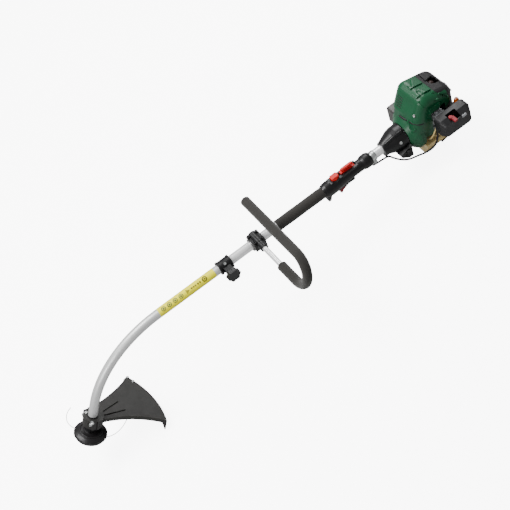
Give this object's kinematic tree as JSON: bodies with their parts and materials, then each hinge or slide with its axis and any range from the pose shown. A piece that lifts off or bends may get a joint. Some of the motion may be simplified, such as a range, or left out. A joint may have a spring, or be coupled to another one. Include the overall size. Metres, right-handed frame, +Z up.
{
  "type": "petrol grass trimmer",
  "caption": "Petrol grass trimmer and brush cutter with a bent split shaft, a loop handle, a fan-shaped guard and a line head, lying on the floor.",
  "frame": {"origin": "middle of the floor rectangle under the machine", "axes": "+X along the shaft towards the engine, +Y to the operator's right, +Z up from the floor the machine lies on"},
  "size_m": [1.3223, 0.3475, 0.3283],
  "materials": {
    "tube": "drawn and satin",
    "steel": "satin",
    "alloy": "die cast",
    "black_plastic": "fine grain",
    "green_plastic": "glossy",
    "red_plastic": "satin",
    "foam": "open cell foam",
    "label": "printed foil",
    "nylon": "satin",
    "rubber": "matt",
    "tank_plastic": "translucent, blow moulded",
    "amber": "soft, translucent",
    "filter_foam": "open foam",
    "black_steel": "heat resistant paint"
  },
  "bodies": {
    "engine_unit": {"upper_tube": "tube", "coupling_clamp": "black_plastic", "handle_clamp_base": "black_plastic", "handle_clamp_cap": "black_plastic", "handle_clamp_bolts": "steel", "shaft_foam_grip": "foam", "throttle_housing_left": "black_plastic", "throttle_housing_right": "black_plastic", "throttle_housing_screws": "steel", "throttle_cable": "black_plastic", "clutch_housing": "black_plastic", "crankcase": "alloy", "piston_and_rod": "alloy", "cylinder": "alloy", "spark_plug": "steel", "spark_plug_boot": "rubber", "ignition_coil": "black_plastic", "muffler": "black_steel", "muffler_shield": "black_plastic", "carburettor": "alloy", "filter_base": "black_plastic", "filter_foam": "filter_foam", "fuel_hoses": "tank_plastic", "fuel_tank": "tank_plastic", "engine_cowl": "green_plastic", "rear_cover": "black_plastic", "engine_stand": "black_plastic"},
    "lower_unit": {"lower_tube": "tube", "drive_cable": "steel", "drive_liner": "nylon", "safety_label": "label", "drive_end_housing": "black_plastic", "drive_end_bearings": "steel", "guard": "black_plastic", "guard_clamp": "black_plastic", "guard_bolts": "steel", "line_cutter": "steel"},
    "line_head": {"output_arbor": "steel", "head_housing": "black_plastic", "line_ends": "nylon"},
    "bump": {"bump_knob": "black_plastic", "line_spool": "black_plastic", "head_spring": "steel"},
    "drive_line": {"drive_rod": "steel", "clutch_drum": "steel"},
    "crank": {"crankshaft": "steel", "flywheel": "alloy", "clutch_shoes": "steel"},
    "coupling_knob": {"coupling_knob": "black_plastic"},
    "loop_handle": {"loop_handle_tube": "tube", "loop_handle_foam": "foam"},
    "trigger": {"throttle_trigger": "red_plastic"},
    "lockout": {"lockout_lever": "red_plastic"},
    "stop": {"stop_button": "red_plastic"},
    "filter_cover": {"air_filter_cover": "black_plastic"},
    "choke": {"choke_lever": "red_plastic"},
    "primer": {"primer_bulb": "amber"},
    "fuel_cap": {"fuel_cap": "black_plastic"},
    "starter_pulley": {"starter_pulley": "black_plastic"},
    "starter_grip": {"starter_grip": "black_plastic"}
  },
  "joints": [
    {"name": "split_shaft_slide", "type": "slide", "parent": "engine_unit", "child": "lower_unit", "axis": [-0.9798, 0, 0.1999], "range_m": [0, 0.05]},
    {"name": "head_spin", "type": "hinge", "parent": "lower_unit", "child": "line_head", "pos_m": [-0.61348, 0.07024, 0.11751], "axis": [-0.663, 0, -0.7486], "continuous": true},
    {"name": "bump_press", "type": "slide", "parent": "line_head", "child": "bump", "axis": [0.663, 0, 0.7486], "range_m": [0, 0.004], "stiffness_N_per_m": 900, "springref_m": -0.006},
    {"name": "drive_spin", "type": "hinge", "parent": "engine_unit", "child": "drive_line", "pos_m": [0.47076, 0.07024, 0.12273], "axis": [-0.9798, 0, 0.1999], "continuous": true},
    {"name": "crank_spin", "type": "hinge", "parent": "engine_unit", "child": "crank", "pos_m": [0.57658, 0.07024, 0.10114], "axis": [-0.9798, 0, 0.1999], "continuous": true},
    {"name": "coupling_knob_turn", "type": "hinge", "parent": "engine_unit", "child": "coupling_knob", "pos_m": [-0.06716, 0.04024, 0.23249], "axis": [0, -1, 0], "range_deg": [0, 720]},
    {"name": "loop_handle_tilt", "type": "hinge", "parent": "engine_unit", "child": "loop_handle", "pos_m": [0.03532, 0.07024, 0.23454], "axis": [0, 1, 0], "range_deg": [-25, 25]},
    {"name": "throttle_squeeze", "type": "hinge", "parent": "engine_unit", "child": "trigger", "pos_m": [0.31802, 0.07024, 0.13297], "axis": [0, 1, 0], "range_deg": [0, 12], "stiffness_Nm_per_rad": 0.4, "springref_deg": -17.19},
    {"name": "lockout_press", "type": "hinge", "parent": "engine_unit", "child": "lockout", "pos_m": [0.34893, 0.07024, 0.16443], "axis": [0, -1, 0], "range_deg": [0, 4], "stiffness_Nm_per_rad": 0.4, "springref_deg": -17.19},
    {"name": "stop_press", "type": "slide", "parent": "engine_unit", "child": "stop", "axis": [-0.1999, 0, -0.9798], "range_m": [0, 0.0025], "stiffness_N_per_m": 700, "springref_m": -0.003},
    {"name": "filter_cover_pull", "type": "slide", "parent": "engine_unit", "child": "filter_cover", "axis": [0, -1, 0], "range_m": [0, 0.07]},
    {"name": "choke_turn", "type": "hinge", "parent": "filter_cover", "child": "choke", "pos_m": [0.60191, -0.03176, 0.16027], "axis": [0.1999, 0, 0.9798], "range_deg": [0, 45]},
    {"name": "primer_press", "type": "slide", "parent": "engine_unit", "child": "primer", "axis": [-0.1999, 0, -0.9798], "range_m": [0, 0.004], "stiffness_N_per_m": 500, "springref_m": -0.003},
    {"name": "fuel_cap_turn", "type": "hinge", "parent": "engine_unit", "child": "fuel_cap", "pos_m": [0.59104, 0.12524, 0.03695], "axis": [0, 1, 0], "range_deg": [0, 540]},
    {"name": "starter_pull", "type": "slide", "parent": "engine_unit", "child": "starter_grip", "axis": [0, 1, 0], "range_m": [0, 0.6], "stiffness_N_per_m": 12, "springref_m": -0.05},
    {"name": "starter_pulley_spin", "type": "hinge", "parent": "engine_unit", "child": "starter_pulley", "pos_m": [0.61312, 0.07024, 0.09368], "axis": [-0.9798, 0, 0.1999], "range_deg": [0, 1720]}
  ],
  "couplings": [
    {"joint": "head_spin", "follows": "drive_spin", "ratio": 1},
    {"joint": "starter_pulley_spin", "follows": "starter_pull", "rad_per_m": 50}
  ]
}
